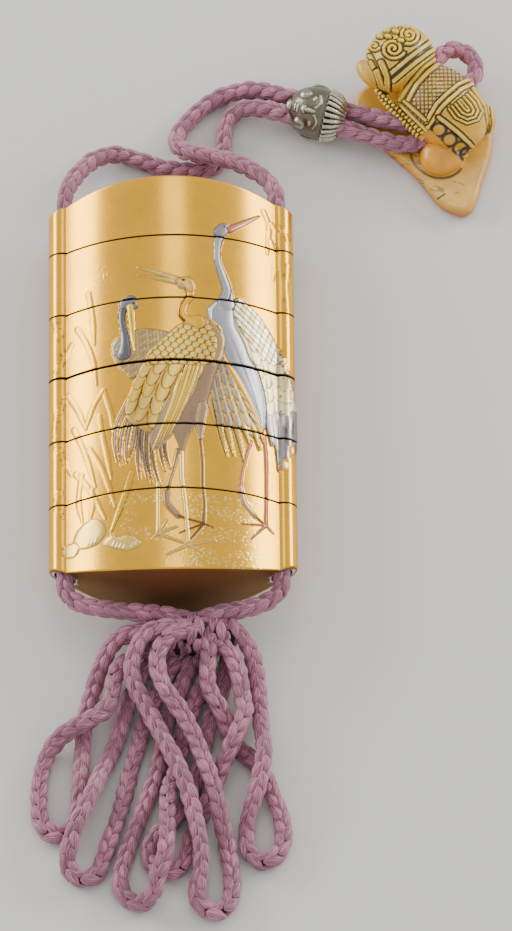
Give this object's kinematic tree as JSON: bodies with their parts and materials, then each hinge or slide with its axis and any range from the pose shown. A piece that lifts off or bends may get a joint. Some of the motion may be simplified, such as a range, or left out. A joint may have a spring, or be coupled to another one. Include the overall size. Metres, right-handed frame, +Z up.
{
  "type": "inro case with cord, bead and netsuke",
  "caption": "Stacked oval lacquer case with raised cranes, lying on its back, on a braided silk cord with a head-shaped bead, a carved beast toggle and a looped bow under it.",
  "frame": {"origin": "on the flat strip down the middle of the case's back, where case_3 lies on the table", "axes": "+Y along the case towards its lid, +Z up out of the decorated front, +X to the right as the front is seen with the lid up"},
  "size_m": [0.0997, 0.2063, 0.0211],
  "materials": {
    "gold_lacquer": "gold-dusted lacquer on thin wood, polished",
    "dark_silver": "dark, rubbed metal",
    "stained_ivory": "stained and polished carving",
    "mauve_silk": "braided silk"
  },
  "bodies": {
    "root": {"lid": "gold_lacquer", "case_1": "gold_lacquer", "case_2": "gold_lacquer", "case_3": "gold_lacquer", "case_4": "gold_lacquer", "bottom_case": "gold_lacquer", "ojime_bead": "dark_silver", "netsuke": "stained_ivory", "cord_left_netsuke": "mauve_silk", "cord_left_top": "mauve_silk", "cord_left_channel": "mauve_silk", "cord_left_under": "mauve_silk", "cord_right_netsuke": "mauve_silk", "cord_right_top": "mauve_silk", "cord_right_channel": "mauve_silk", "cord_right_under": "mauve_silk", "cord_netsuke_loop": "mauve_silk", "bow_loop_1": "mauve_silk", "bow_loop_2": "mauve_silk", "bow_loop_3": "mauve_silk", "bow_loop_4": "mauve_silk", "bow_loop_5": "mauve_silk", "bow_loop_6": "mauve_silk", "bow_knot": "mauve_silk"}
  },
  "joints": []
}
